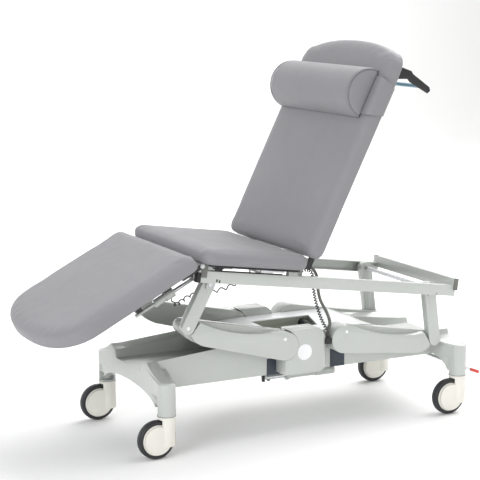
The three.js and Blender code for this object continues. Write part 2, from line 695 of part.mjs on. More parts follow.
function addSeat(top) {
  top.add(mesh('top_frame', topFrame(), PEARL));
  for (const [word, side] of SIDES) {
    top.add(mesh(`rail_cap_${word}`, railCap(side), BLACK_PLASTIC));
  }
  const board = extruded(roundedRectangle(-28, 308, -280, 280, 30), BOARD, 4);
  top.add(mesh('seat_board', board.translate(0, 0, 62), BLACK_PLASTIC));
  const plan = roundedRectangle(SEAT.start, SEAT.end, -PAD_HALF_WIDTH, PAD_HALF_WIDTH, 44);
  top.add(mesh('seat_pad', pad(plan, SEAT.low, SEAT.high, SEAT_BOTTOM_ROUND), GREY_FABRIC));

  const housing = cylinderX(19, -33, 206, BACK_ROD_Y, HIP[1] - BACK_CRANK);
  const motor = box(-33, 70, BACK_ROD_Y - 62, BACK_ROD_Y - 8, HIP[1] - BACK_CRANK - 20, 54);
  const bore = cylinderX(8.3, 60, 210, BACK_ROD_Y, HIP[1] - BACK_CRANK);
  top.add(mesh('back_actuator', cut(join(housing, motor), bore), PEARL));
  const pinU = HIP[0] + BACK_PIN_SHIFT;
  const rod = cylinderX(8, 130, pinU + 8, BACK_ROD_Y, HIP[1] - BACK_CRANK);
  const crossPin = cylinderY(4, BACK_ROD_Y, BACK_ROD_Y + 26, pinU, HIP[1] - BACK_CRANK, 12);
  top.add(mesh('back_rod', join(rod, crossPin), BRIGHT_STEEL));
}

// ---------------------------------------------------------------- leg section

function legPlan(inset) {
  const half = PAD_HALF_WIDTH - inset;
  const taperStart = 392;
  const tipReach = LEG_LENGTH - taperStart - inset;
  const corner = 34;
  const start = -2 - inset;
  const points = [];
  for (let i = 0; i <= 20; i += 1) {
    const turn = (90 + 9 * i) * DEG;
    const c = Math.cos(turn);
    const s = Math.sin(turn);
    const x = -taperStart - tipReach * Math.abs(c) ** 0.9;
    points.push([x, half * Math.sign(s) * Math.abs(s) ** 0.82]);
  }
  const shape = outline(points);
  shape.lineTo(start - corner, -half);
  shape.absarc(start - corner, -half + corner, corner, -90 * DEG, 0, false);
  shape.absarc(start - corner, half - corner, corner, 0, 90 * DEG, false);
  return shape;
}

// a point given in the top frame's axes, in the axes of a section that is turned up by a slope
function inSection([u, v], [placeU, placeV], slope) {
  const du = u - placeU;
  const dv = v - placeV;
  const c = Math.cos(slope * DEG);
  const s = Math.sin(slope * DEG);
  return [du * c + dv * s, dv * c - du * s];
}

const LEG_KNEE = inSection(KNEE, LEG_PLACE, LEG_SLOPE);
const BACK_HIP = inSection(HIP, BACK_PLACE, BACK_SLOPE);

function legFrame() {
  const board = extruded(legPlan(26), BOARD, 3);
  const pieces = [board];
  for (const [, side] of SIDES) {
    const tongueSpan = span(side, 250.6, 256);
    pieces.push(box(-62, LEG_KNEE[0], ...tongueSpan, LEG_KNEE[1] - 7.5, 0.5));
    pieces.push(cylinderY(7.5, ...tongueSpan, ...LEG_KNEE, 16));
    pieces.push(box(-62, -40, ...span(side, 230, 256), LEG_KNEE[1] - 7.5, 3));
    pieces.push(cylinderY(5, ...span(side, 243, 252), ...LEG_KNEE, 16));
    pieces.push(box(-380, -40, ...span(side, 120, 140), -22, 1));
  }
  const hangers = [[-225, -205, LEG_TAIL_RADIUS], [-112, -92, LEG_MOTOR_RADIUS]];
  for (const [x0, x1, radius] of hangers) {
    const low = LEG_KNEE[1] - LEG_CRANK + radius + GAP;
    pieces.push(box(x0, x1, LEG_ROD_Y - 12, LEG_ROD_Y + 12, low, 1));
  }
  return join(...pieces);
}

function addLegSection(legGroup) {
  legGroup.add(mesh('leg_frame', legFrame(), BLACK_STEEL));
  legGroup.add(mesh('leg_pad', pad(legPlan(0), BOARD + GAP, LEG_HIGH, PAD_BOTTOM_ROUND), GREY_FABRIC));
  const axisZ = LEG_KNEE[1] - LEG_CRANK;
  const tail = cylinderX(LEG_TAIL_RADIUS, -232, -156, LEG_ROD_Y, axisZ);
  const housing = cylinderX(13, -158, -88, LEG_ROD_Y, axisZ);
  const motor = cylinderX(LEG_MOTOR_RADIUS, -118, -84, LEG_ROD_Y, axisZ);
  const bore = cylinderX(6.3, -152, -80, LEG_ROD_Y, axisZ);
  legGroup.add(mesh('leg_actuator', cut(join(tail, housing, motor), bore), PEARL));
  const pinX = LEG_KNEE[0] - LEG_PIN_SHIFT;
  const rod = cylinderX(6, -135, pinX + 6, LEG_ROD_Y, axisZ);
  const crossPin = cylinderY(4, LEG_ROD_Y, LEG_ROD_Y + 18, pinX, axisZ, 12);
  legGroup.add(mesh('leg_rod', join(rod, crossPin), BRIGHT_STEEL));
}

// ---------------------------------------------------------------- backrest

function backPlan(inset) {
  const half = PAD_HALF_WIDTH - inset;
  const shape = new THREE.Shape();
  const start = 8 + inset;
  const corner = 34;
  shape.moveTo(start + corner, -half);
  shape.lineTo(BACK_SHOULDER - 50, -half);
  shape.quadraticCurveTo(BACK_SHOULDER + 22, -half, 744 - inset, -half + 60);
  shape.quadraticCurveTo(BACK_LENGTH - inset, -half / 2, BACK_LENGTH - inset, 0);
  shape.quadraticCurveTo(BACK_LENGTH - inset, half / 2, 744 - inset, half - 60);
  shape.quadraticCurveTo(BACK_SHOULDER + 22, half, BACK_SHOULDER - 50, half);
  shape.lineTo(start + corner, half);
  shape.absarc(start + corner, half - corner, corner, 90 * DEG, 180 * DEG, false);
  shape.absarc(start + corner, -half + corner, corner, 180 * DEG, 270 * DEG, false);
  return shape;
}

function backFrame() {
  const [hipS, hipH] = BACK_HIP;
  const pieces = [];
  for (const [, side] of SIDES) {
    const bar = outline([
      [-30, -20], [435, -20], [435, -0.3], [-2, -0.3], [-9, 26], [-19, 29.4], [-28, 23], [-31, 8],
    ]);
    pieces.push(prismXZ(bar, ...span(side, 207, 215)));
  }
  pieces.push(cylinderY(9, -214, 214, hipS, hipH, 16));
  pieces.push(box(170, 200, -210, 210, -18, -0.4));
  pieces.push(box(400, 430, -210, 210, -18, -0.4));
  const lean = BACK_CRANK_ANGLE - BACK_SLOPE;
  const crank = slottedLever(68, 45, 11.4, 13, BACK_ROD_Y + 12, BACK_ROD_Y + 22);
  pieces.push(crank.rotateY(-lean * DEG).translate(hipS, 0, hipH));
  return join(...pieces);
}

function strap() {
  const wrap = (grow, z0, z1) => {
    const half = PAD_HALF_WIDTH + grow;
    return outline([[-half, z0], [half, z0], [half, z1], [-half, z1]]);
  };
  const outer = prismYZ(wrap(4, -4.6, BACK_HIGH + 0.2), 500, 640);
  const inner = prismYZ(wrap(0.5, -1, BACK_HIGH + 10), 490, 650);
  const slant = (side) => prismXZ(
    outline([[480, -10], [524, -10], [504, 70], [480, 70]].map(([x, z]) => {
      return side < 0 ? [x, z] : [1144 - x, z];
    })),
    -320,
    320,
  );
  return cut(outer, inner, slant(-1), slant(1));
}

function bolster() {
  const { along: at, radius, halfLength } = BOLSTER;
  const profile = [
    [0, -halfLength],
    [radius - 10, -halfLength],
    [radius, -halfLength + 10],
    [radius, halfLength - 10],
    [radius - 10, halfLength],
    [0, halfLength],
  ];
  const roll = new THREE.LatheGeometry(profile.map(([r, y]) => new THREE.Vector2(r, y)), 32);
  const under = box(-radius - 1, radius + 1, -halfLength - 1, halfLength + 1, -radius - 1, 0);
  return cut(roll, under).translate(at, 0, BACK_HIGH + GAP);
}

function rollHolder() {
  const reach = [
    [660, -0.4], [706, -0.4], [712, -50], [706, -60], [694, -140], [684, -148], [672, -142],
    [676, -62], [682, -48],
  ];
  const pieces = SIDES.map(([, side]) => prismXZ(outline(reach), ...span(side, 256, 261)));
  pieces.push(cylinderY(6, -258, 258, 684, -112, 12));
  pieces.push(box(660, 700, -258, 258, -6.4, -0.4));
  return join(...pieces);
}

function addBackrest(back) {
  back.add(mesh('back_frame', backFrame(), BLACK_STEEL));
  const board = extruded(backPlan(26), BOARD, 4);
  back.add(mesh('back_board', board, BLACK_PLASTIC));
  back.add(mesh('back_pad', pad(backPlan(0), BOARD + GAP, BACK_HIGH, PAD_BOTTOM_ROUND), GREY_FABRIC));
  back.add(mesh('roll_holder', rollHolder(), BLACK_STEEL));
  back.add(mesh('head_bolster', bolster(), GREY_FABRIC));
  back.add(mesh('bolster_strap', strap(), GREY_FABRIC));
}

// ---------------------------------------------------------------- cables

// routes from the gland up to the top frame's cross plate under the seat's rear edge
const COILED_CABLE = [
  [94, -212, 316.5], [94, -212, 322], [88, -210, 340], [76, -202, 368], [66, -186, 410],
  [58, -172, 465], [58, -165, 515], [45, -163, 541], [18, -163, 544], [-9, -163, 533],
  [-16.6, -163, 517], [-17.4, -163, 511.7],
];
const CABLE_CONDUIT = [
  [95, -196.5, 316.5], [95.4, -196.5, 323], [103, -194, 340], [114, -184, 360], [111, -165, 394],
  [95, -152, 433], [87, -145, 480], [84, -142, 519], [66, -141, 545], [35, -141, 554],
  [2, -141, 543], [-8.8, -141, 518], [-9.5, -141, 512.8],
];
// from the leg actuator's motor to the underside of the seat board
const LEG_CABLE = [
  [-470.4, -176, 497.5], [-462, -171, 482], [-438, -150, 472], [-400, -120, 477], [-361, -100, 485],
  [-326, -98, 482], [-292, -100, 488], [-250, -100, 494], [-214, -100, 503], [-180, -100, 520],
  [-155, -100, 543], [-148.2, -100, 562], [-146.4, -100, 575.1],
];

function addCables(group) {
  group.add(mesh('coiled_cable', tube(COILED_CABLE, 6.5, 24, 10), CABLE_GREY));
  group.add(mesh('cable_conduit', tube(CABLE_CONDUIT, 6, 26, 10), CABLE_GREY));
  group.add(mesh('leg_cable', tube(LEG_CABLE, 5, 24, 8), CABLE_GREY));
}

// ---------------------------------------------------------------- assembly

const trolley = new THREE.Group();
trolley.position.x = -CENTRE_X;
addChassis(trolley);
addCastors(trolley);
addBrake(trolley);
addLift(trolley);
addCables(trolley);

const top = new THREE.Group();
top.position.set(FRAME_PIVOT[0], 0, FRAME_PIVOT[1]);
top.rotation.y = FRAME_TILT * DEG;
trolley.add(top);
addSeat(top);

const legGroup = new THREE.Group();
legGroup.position.set(LEG_PLACE[0], 0, LEG_PLACE[1]);
legGroup.rotation.y = -LEG_SLOPE * DEG;
top.add(legGroup);
addLegSection(legGroup);

const back = new THREE.Group();
back.position.set(BACK_PLACE[0], 0, BACK_PLACE[1]);
back.rotation.y = -BACK_SLOPE * DEG;
top.add(back);
addBackrest(back);

export default trolley;
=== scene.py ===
import json
import math

import bmesh
import bpy
import numpy as np
from mathutils import Matrix, Vector
from mathutils.bvhtree import BVHTree


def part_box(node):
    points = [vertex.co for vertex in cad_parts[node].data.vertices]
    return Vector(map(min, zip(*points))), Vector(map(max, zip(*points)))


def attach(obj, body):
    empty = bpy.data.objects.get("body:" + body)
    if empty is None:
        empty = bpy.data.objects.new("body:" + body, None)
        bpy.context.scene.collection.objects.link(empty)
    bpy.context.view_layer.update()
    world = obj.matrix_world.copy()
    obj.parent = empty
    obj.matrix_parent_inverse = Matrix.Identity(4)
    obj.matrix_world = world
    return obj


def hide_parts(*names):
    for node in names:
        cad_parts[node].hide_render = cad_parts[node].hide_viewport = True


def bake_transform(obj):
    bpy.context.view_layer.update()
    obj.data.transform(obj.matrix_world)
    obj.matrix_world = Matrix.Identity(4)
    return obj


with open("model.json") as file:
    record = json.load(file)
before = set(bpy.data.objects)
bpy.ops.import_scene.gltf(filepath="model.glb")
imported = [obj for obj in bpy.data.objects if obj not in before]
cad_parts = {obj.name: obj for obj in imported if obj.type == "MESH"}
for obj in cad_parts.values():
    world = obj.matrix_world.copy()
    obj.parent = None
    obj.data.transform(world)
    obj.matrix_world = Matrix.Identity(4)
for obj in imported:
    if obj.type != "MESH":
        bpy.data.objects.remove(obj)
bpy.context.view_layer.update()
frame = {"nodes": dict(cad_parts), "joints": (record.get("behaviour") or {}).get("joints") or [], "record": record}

# ---------------------------------------------------------------- the frame's own facts

JOINTS = {joint["name"]: joint for joint in frame["joints"]}
BODY_OF = {n: b for b, nodes in frame["record"]["behaviour"]["bodies"].items() for n in nodes}
SLOT_OF = {part["node"]: part["material_slot"] for part in frame["record"]["subparts"]}
SHIFT = 0.1155                  # the drawing's own origin lies this far along X
MM = 0.001
FRAME_TILT = 8                  # slopes in degrees, and where each section's own axes start
LEG_PLACE, LEG_SLOPE = (-0.0657, 0, 0.0567), 35.3
BACK_PLACE, BACK_SLOPE = (0.3604, 0, 0.096), 71.6
RAIL_FACE, RAIL_TOP = 250.2, 45.2    # outer faces of the rails and links, in millimetres
LINK_FACE = 222.2


def spot(joint):
    return Vector(JOINTS[joint]["pos_m"])


def turned(degrees):
    return Matrix.Rotation(math.radians(degrees), 4, "Y")


# axes of the top frame, the leg section and the backrest, as the model was drawn
TOP = Matrix.Translation(spot("tilt")) @ turned(FRAME_TILT)
LEG = TOP @ Matrix.Translation(LEG_PLACE) @ turned(-LEG_SLOPE)
BACK = TOP @ Matrix.Translation(BACK_PLACE) @ turned(-BACK_SLOPE)
SIDES = (("near", -1), ("far", 1))
ENDS = ("foot", "head")


def drawn(points):
    """Points in the drawing's axes, in millimetres, as frame points in metres."""
    return [Vector((x * MM + SHIFT, y * MM, z * MM)) for x, y, z in points]


# ---------------------------------------------------------------- camera

CAMERA_PLACE = (-2.4448 + SHIFT, -4.4942, 1.5036)
CAMERA_AZIMUTH = -27.22         # degrees round from the near side, towards the foot end
CAMERA_ELEVATION = 9.76
CAMERA_LENS = 113.7


def add_camera():
    data = bpy.data.cameras.new("camera")
    data.sensor_width = 36
    data.lens = CAMERA_LENS
    camera = bpy.data.objects.new("camera", data)
    bpy.context.scene.collection.objects.link(camera)
    azimuth, elevation = math.radians(CAMERA_AZIMUTH), math.radians(CAMERA_ELEVATION)
    back = Vector((
        math.sin(azimuth) * math.cos(elevation),
        -math.cos(azimuth) * math.cos(elevation),
        math.sin(elevation),
    ))
    camera.location = CAMERA_PLACE
    camera.rotation_euler = back.to_track_quat("Z", "Y").to_euler()
    bpy.context.scene.camera = camera


add_camera()
bpy.context.scene.view_settings.view_transform = "Standard"

# ---------------------------------------------------------------- materials


class Surface:
    """A Principled material whose colour, roughness and relief come from noise at real scales."""

    def __init__(self, name, color, roughness, metallic=0.0):
        self.material = bpy.data.materials.new(name)
        self.material.use_nodes = True
        self.tree = self.material.node_tree
        self.shader = self.tree.nodes["Principled BSDF"]
        self.shader.inputs["Metallic"].default_value = metallic
        self.shader.inputs["Roughness"].default_value = roughness
        self.place = self.node("ShaderNodeTexCoord").outputs["Object"]
        self.color = color
        self.roughness = roughness
        self.normal = None

    def node(self, kind):
        return self.tree.nodes.new(kind)

    def link(self, out, into):
        self.tree.links.new(out, into)

    def noise(self, scale, detail=3.0, stretch=None):
        texture = self.node("ShaderNodeTexNoise")
        texture.inputs["Scale"].default_value = scale
        texture.inputs["Detail"].default_value = detail
        source = self.place
        if stretch:
            mapping = self.node("ShaderNodeMapping")
            mapping.inputs["Scale"].default_value = stretch
            self.link(self.place, mapping.inputs["Vector"])
            source = mapping.outputs["Vector"]
        self.link(source, texture.inputs["Vector"])
        return texture.outputs["Fac"]

    def cells(self, scale):
        texture = self.node("ShaderNodeTexVoronoi")
        texture.inputs["Scale"].default_value = scale
        self.link(self.place, texture.inputs["Vector"])
        return texture.outputs["Distance"]

    def mapped(self, value, low, high):
        ranged = self.node("ShaderNodeMapRange")
        ranged.inputs["From Min"].default_value = 0.3
        ranged.inputs["From Max"].default_value = 0.7
        ranged.inputs["To Min"].default_value = low
        ranged.inputs["To Max"].default_value = high
        self.link(value, ranged.inputs["Value"])
        return ranged.outputs["Result"]

    def tint(self, value, color_a, color_b):
        mix = self.node("ShaderNodeMix")
        mix.data_type = "RGBA"
        if isinstance(color_a, tuple):
            mix.inputs["A"].default_value = (*color_a, 1)
        else:
            self.link(color_a, mix.inputs["A"])
        mix.inputs["B"].default_value = (*color_b, 1)
        self.link(value, mix.inputs["Factor"])
        return mix.outputs["Result"]

    def mottle(self, scale, amount, speckle_scale=None, speckle=0.0):
        lighter = tuple(min(1.0, c * (1 + amount)) for c in self.color)
        darker = tuple(c * (1 - amount) for c in self.color)
        out = self.tint(self.mapped(self.noise(scale), 0, 1), darker, lighter)
        if speckle_scale:
            dark = tuple(c * 0.7 for c in self.color)
            out = self.tint(self.mapped(self.noise(speckle_scale, 1.0), 0, speckle), out, dark)
        self.link(out, self.shader.inputs["Base Color"])
        return out

    def gloss(self, scale, spread):
        value = self.mapped(self.noise(scale), self.roughness - spread, self.roughness + spread)
        self.link(value, self.shader.inputs["Roughness"])

    def relief(self, value, depth, strength=1.0):
        bump = self.node("ShaderNodeBump")
        bump.inputs["Distance"].default_value = depth
        bump.inputs["Strength"].default_value = strength
        self.link(value, bump.inputs["Height"])
        if self.normal:
            self.link(self.normal, bump.inputs["Normal"])
        self.normal = bump.outputs["Normal"]
        self.link(self.normal, self.shader.inputs["Normal"])


def enamel(name, color, roughness, coat):
    surface = Surface(name, color, roughness)
    surface.mottle(5, 0.025, 260, 0.12)
    surface.gloss(40, 0.06)
    surface.relief(surface.noise(420, 2.0), 0.00006)
    surface.shader.inputs["Coat Weight"].default_value = coat
    surface.shader.inputs["Coat Roughness"].default_value = 0.14
    return surface.material


def plastic(name, color, roughness, grain):
    surface = Surface(name, color, roughness)
    surface.mottle(9, 0.03)
    surface.gloss(60, 0.07)
    surface.relief(surface.cells(grain), 0.00008)
    return surface.material


def tray_shaded_cover(name, color, tray_shade_color, tray_shade_top):
    """White moulding whose tray, below a given height, is painted darker: painted shade standing for the deep
    pocket's shadow.
    """
    surface = Surface(name, color, 0.42)
    shell = surface.mottle(9, 0.03)
    height = surface.node("ShaderNodeSeparateXYZ")
    surface.link(surface.place, height.inputs["Vector"])
    # mask of the tray below the given height, where painted shade is mixed into the white
    below = surface.node("ShaderNodeMapRange")
    below.inputs["From Min"].default_value = tray_shade_top
    below.inputs["From Max"].default_value = tray_shade_top - 0.0015
    surface.link(height.outputs["Z"], below.inputs["Value"])
    both = surface.tint(below.outputs["Result"], shell, tray_shade_color)
    surface.link(both, surface.shader.inputs["Base Color"])
    surface.gloss(60, 0.07)
    surface.relief(surface.cells(700), 0.00008)
    surface.shader.inputs["Coat Weight"].default_value = 0.6
    surface.shader.inputs["Coat Roughness"].default_value = 0.16
    return surface.material


def brushed(name, color, roughness):
    surface = Surface(name, color, roughness, 1.0)
    surface.mottle(12, 0.05)
    surface.gloss(90, 0.08)
    surface.relief(surface.noise(300, 3.0, (1.0, 0.05, 1.0)), 0.00003)
    return surface.material


def rubber(name, color, roughness):
    surface = Surface(name, color, roughness)
    surface.mottle(14, 0.12, 500, 0.25)
    surface.gloss(50, 0.08)
    surface.relief(surface.noise(700, 2.0), 0.0001)
    return surface.material


def vinyl(name, color):
    surface = Surface(name, color, 0.62)
    surface.mottle(4, 0.035, 700, 0.28)
    surface.gloss(25, 0.05)
    surface.relief(surface.noise(9, 2.0), 0.0012, 0.5)
    surface.relief(surface.cells(620), 0.00022)
    surface.relief(surface.noise(1400, 2.0), 0.00008)
    surface.shader.inputs["Sheen Weight"].default_value = 0.12
    surface.shader.inputs["Sheen Roughness"].default_value = 0.5
    return surface.material


LOOK = {
    "pearl_enamel": enamel("pearl_enamel", (0.50, 0.525, 0.50), 0.4, 1.0),
    "cover_white": plastic("cover_white", (0.86, 0.875, 0.89), 0.42, 700),
    "castor_cream": plastic("castor_cream", (0.79, 0.775, 0.71), 0.38, 900),
    "tyre_rubber": rubber("tyre_rubber", (0.022, 0.023, 0.026), 0.5),
    "anthracite_plate": enamel("anthracite_plate", (0.036, 0.047, 0.066), 0.5, 0.0),
    "black_plastic": plastic("black_plastic", (0.016, 0.016, 0.018), 0.5, 800),
    "black_steel": enamel("black_steel", (0.022, 0.022, 0.024), 0.45, 0.0),
    "bright_steel": brushed("bright_steel", (0.60, 0.61, 0.63), 0.3),
    "red_plastic": plastic("red_plastic", (0.62, 0.06, 0.04), 0.4, 800),
    "grey_upholstery": vinyl("grey_upholstery", (0.262, 0.257, 0.272)),
    "cable_grey": rubber("cable_grey", (0.17, 0.173, 0.158), 0.5),
}
# the darker grey-green inside the tray is painted shade; the moulding itself is white throughout
TRAY_SHADED_COVER = tray_shaded_cover("tray_shaded_cover", (0.86, 0.875, 0.89), (0.31, 0.33, 0.285), 0.3275)
DARK_CABLE = rubber("dark_cable", (0.075, 0.076, 0.07), 0.45)
PALE_BLUE = plastic("pale_blue_sleeve", (0.30, 0.52, 0.66), 0.6, 500)

# ---------------------------------------------------------------- mesh helpers


def finish_piece(piece, slot, body=None, replaced=(), sharp=None):
    """Gives a made piece its material, its shading and its place in the frame."""
    piece.data.materials.clear()
    piece.data.materials.append(LOOK[slot])
    piece.data.polygons.foreach_set("use_smooth", [True] * len(piece.data.polygons))
    if sharp:
        piece.data.set_sharp_from_angle(angle=math.radians(sharp))
    if body:
        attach(piece, body)
    if replaced:
        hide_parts(*replaced)
    return piece


def from_bmesh(name, bm):
    bmesh.ops.recalc_face_normals(bm, faces=bm.faces)
    data = bpy.data.meshes.new(name)
    bm.to_mesh(data)
    bm.free()
    piece = bpy.data.objects.new(name, data)
    bpy.context.scene.collection.objects.link(piece)
    return piece


def from_rings(name, rings, closed=False):
    """A tube through equal rings of points; the ends are capped unless it closes on itself."""
    bm = bmesh.new()
    made = [[bm.verts.new(p) for p in ring] for ring in rings]
    pairs = list(zip(made, made[1:]))
    if closed:
        pairs.append((made[-1], made[0]))
    for one, other in pairs:
        count = len(one)
        for i in range(count):
            j = (i + 1) % count
            bm.faces.new((one[i], one[j], other[j], other[i]))
    if not closed:
        bm.faces.new(made[0][::-1])
        bm.faces.new(made[-1])
    return from_bmesh(name, bm)


def apply_modifiers(piece):
    bpy.context.view_layer.update()
    graph = bpy.context.evaluated_depsgraph_get()
    data = bpy.data.meshes.new_from_object(piece.evaluated_get(graph))
    piece.modifiers.clear()
    piece.data = data


def smooth_route(points, step):
    """A centripetal Catmull-Rom curve through the points, sampled at about the step."""
    knots = [2 * points[0] - points[1], *points, 2 * points[-1] - points[-2]]
    route = []
    for p0, p1, p2, p3 in zip(knots, knots[1:], knots[2:], knots[3:]):
        t0 = 0.0
        t1 = t0 + (p1 - p0).length ** 0.5
        t2 = t1 + (p2 - p1).length ** 0.5
        t3 = t2 + (p3 - p2).length ** 0.5
        count = max(1, round((p2 - p1).length / step))
        for i in range(count):
            t = t1 + (t2 - t1) * i / count
            a1 = p0 * ((t1 - t) / (t1 - t0)) + p1 * ((t - t0) / (t1 - t0))
            a2 = p1 * ((t2 - t) / (t2 - t1)) + p2 * ((t - t1) / (t2 - t1))
            a3 = p2 * ((t3 - t) / (t3 - t2)) + p3 * ((t - t2) / (t3 - t2))
            b1 = a1 * ((t2 - t) / (t2 - t0)) + a2 * ((t - t0) / (t2 - t0))
            b2 = a2 * ((t3 - t) / (t3 - t1)) + a3 * ((t - t1) / (t3 - t1))
            route.append(b1 * ((t2 - t) / (t2 - t1)) + b2 * ((t - t1) / (t2 - t1)))
    route.append(points[-1].copy())
    return route


def carried_frames(route):
    """A tangent and two cross directions at each point, carried along without twist."""
    frames = []
    side = None
    for i, point in enumerate(route):
        ahead = route[min(i + 1, len(route) - 1)]
        behind = route[max(i - 1, 0)]
        tangent = (ahead - behind).normalized()
        if side is None:
            side = tangent.orthogonal()
        side = (side - tangent * side.dot(tangent)).normalized()
        frames.append((tangent, side, tangent.cross(side)))
    return frames


def round_tube(name, route, radius, sides):
    """A tube round a route; radius is a number or a function of the distance along it."""
    rings = []
    travelled = 0.0
    for i, (point, (_, a, b)) in enumerate(zip(route, carried_frames(route))):
        travelled += (point - route[i - 1]).length if i else 0.0
        size = radius(travelled) if callable(radius) else radius
        turns = [2 * math.pi * k / sides for k in range(sides)]
        rings.append([point + size * (math.cos(t) * a + math.sin(t) * b) for t in turns])
    return from_rings(name, rings)


def route_length(route):
    return sum((b - a).length for a, b in zip(route, route[1:]))


def helix_route(route, radius, pitch, per_turn, lead):
    """A coil round a route: it leaves the route's line over the lead and comes back over the last one."""
    total = route_length(route)
    frames = carried_frames(route)
    points = []
    travelled = [0.0]
    for a, b in zip(route, route[1:]):
        travelled.append(travelled[-1] + (b - a).length)
    count = round(total / pitch * per_turn)
    index = 0
    for i in range(count + 1):
        along = total * i / count
        while index + 2 < len(route) and travelled[index + 1] < along:
            index += 1
        share = (along - travelled[index]) / (travelled[index + 1] - travelled[index])
        middle = route[index].lerp(route[index + 1], share)
        _, a, b = frames[index]
        size = radius * min(1.0, along / lead, (total - along) / lead)
        turn = 2 * math.pi * along / pitch
        points.append(middle + size * (math.cos(turn) * a + math.sin(turn) * b))
    return points


# ---------------------------------------------------------------- cables

COILED_CABLE = [
    (94, -212, 316.5), (94, -212, 322), (88, -210, 340), (76, -202, 368), (66, -186, 410),
    (58, -172, 465), (58, -165, 515), (45, -163, 541), (18, -163, 544), (-9, -163, 533),
    (-16.6, -163, 517), (-17.4, -163, 511.7),
]
CABLE_CONDUIT = [
    (95, -196.5, 316.5), (95.4, -196.5, 323), (103, -194, 340), (114, -184, 360),
    (111, -165, 394), (95, -152, 433), (87, -145, 480), (84, -142, 519), (66, -141, 545),
    (35, -141, 554), (2, -141, 543), (-8.8, -141, 518), (-9.5, -141, 512.8),
]
LEG_CABLE = [
    (-470.4, -176, 497.5), (-462, -171, 482), (-438, -150, 472), (-400, -120, 477),
    (-361, -100, 485), (-326, -98, 482), (-292, -100, 488), (-250, -100, 494),
    (-214, -100, 503), (-180, -100, 520), (-155, -100, 543), (-148.2, -100, 562),
    (-146.4, -100, 575.1),
]


def declare_cord(piece):
    finish_piece(piece, "cable_grey")
    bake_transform(piece)


def add_cables():
    line = smooth_route(drawn(COILED_CABLE), 0.002)
    coil = helix_route(line, 0.0044, 0.0094, 16, 0.012)
    piece = round_tube("coiled_cable_turns", coil, 0.0021, 8)
    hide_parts("coiled_cable")
    declare_cord(piece)
    piece.data.materials[0] = DARK_CABLE

    line = smooth_route(drawn(CABLE_CONDUIT), 0.001)
    rib = 0.0034
    piece = round_tube(
        "cable_conduit_ribs",
        line,
        lambda s: 0.0054 + 0.0005 * math.sin(2 * math.pi * s / rib),
        12,
    )
    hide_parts("cable_conduit")
    declare_cord(piece)

    line = smooth_route(drawn(LEG_CABLE), 0.003)
    coil = helix_route(line, 0.0056, 0.034, 24, 0.03)
    piece = round_tube("leg_cable_turns", coil, 0.0021, 8)
    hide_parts("leg_cable")
    declare_cord(piece)
    piece.data.materials[0] = DARK_CABLE


add_cables()

# ---------------------------------------------------------------- upholstery

PAD_SLACK = 0.005               # a pad starts this much inside its outer size and swells into it
BOLSTER_SLACK = 0.003
PAD_CROWN = 0.003
SEAM_BAND = 0.03                # height above the base over which a cover keeps to its solid
INWARD = 0.0004
CLOTH_FRAMES = 20


def local_mesh(node, axes, name):
    """A copy of a node's mesh, in the section's own axes."""
    data = frame["nodes"][node].data.copy()
    data.transform(axes.inverted())
    piece = bpy.data.objects.new(name, data)
    bpy.context.scene.collection.objects.link(piece)
    return piece


def vertices(data):
    co = np.empty(len(data.vertices) * 3)
    data.vertices.foreach_get("co", co)
    return co.reshape(-1, 3)


def set_vertices(data, co):
    data.vertices.foreach_set("co", co.ravel())
    data.update()


def swell(piece, voxel, pressure, cap, held_below=None):
    """Remeshes a closed form, lets cloth under pressure round it, and limits how far it moves."""
    remesh = piece.modifiers.new("remesh", "REMESH")
    remesh.mode = "VOXEL"
    remesh.voxel_size = voxel
    apply_modifiers(piece)
    start = vertices(piece.data)
    if held_below is not None:
        group = piece.vertex_groups.new(name="held")
        group.add([int(i) for i in np.nonzero(start[:, 2] < held_below)[0]], 1.0, "REPLACE")
    cloth = piece.modifiers.new("cloth", "CLOTH")
    settings = cloth.settings
    settings.use_pressure = True
    settings.uniform_pressure_force = pressure
    settings.effector_weights.gravity = 0
    settings.quality = 5
    settings.mass = 0.4
    settings.tension_stiffness = 20
    settings.compression_stiffness = 20
    settings.bending_stiffness = 2
    if held_below is not None:
        settings.vertex_group_mass = "held"
    scene = bpy.context.scene
    for number in range(1, CLOTH_FRAMES + 1):
        scene.frame_set(number)
    graph = bpy.context.evaluated_depsgraph_get()
    settled = piece.evaluated_get(graph)
    moved = vertices(settled.data) - start
    piece.modifiers.clear()
    far = np.linalg.norm(moved, axis=1, keepdims=True)
    moved *= np.minimum(1.0, cap / np.maximum(far, 1e-9))
    set_vertices(piece.data, start + moved)
    scene.frame_set(1)


def soften(piece, repeats):
    smooth = piece.modifiers.new("smooth", "SMOOTH")
    smooth.factor = 0.5
    smooth.iterations = repeats
    apply_modifiers(piece)


def subdivide(piece):
    sub = piece.modifiers.new("sub", "SUBSURF")
    sub.levels = 1
    sub.render_levels = 1
    apply_modifiers(piece)


def fill_box(piece, low, high):
    """Stretches a cover so that it just fills the box of the solid it stands for."""
    co = vertices(piece.data)
    mine_low, mine_high = co.min(0), co.max(0)
    set_vertices(piece.data, (co - mine_low) / (mine_high - mine_low) * (high - low) + low)


def draw_in(piece, node, axes, below):
    """Brings the lower edges of a cover back to the solid it stands for, clear of what passes under it."""
    bm = bmesh.new()
    bm.from_mesh(frame["nodes"][node].data)
    bm.transform(axes.inverted())
    solid = BVHTree.FromBMesh(bm)
    bm.free()
    co = vertices(piece.data)
    for i in np.nonzero(co[:, 2] < below)[0]:
        place, normal, _, _ = solid.find_nearest(Vector(co[i]))
        if (Vector(co[i]) - place).dot(normal) > -INWARD:
            co[i] = place - normal * INWARD
    set_vertices(piece.data, co)


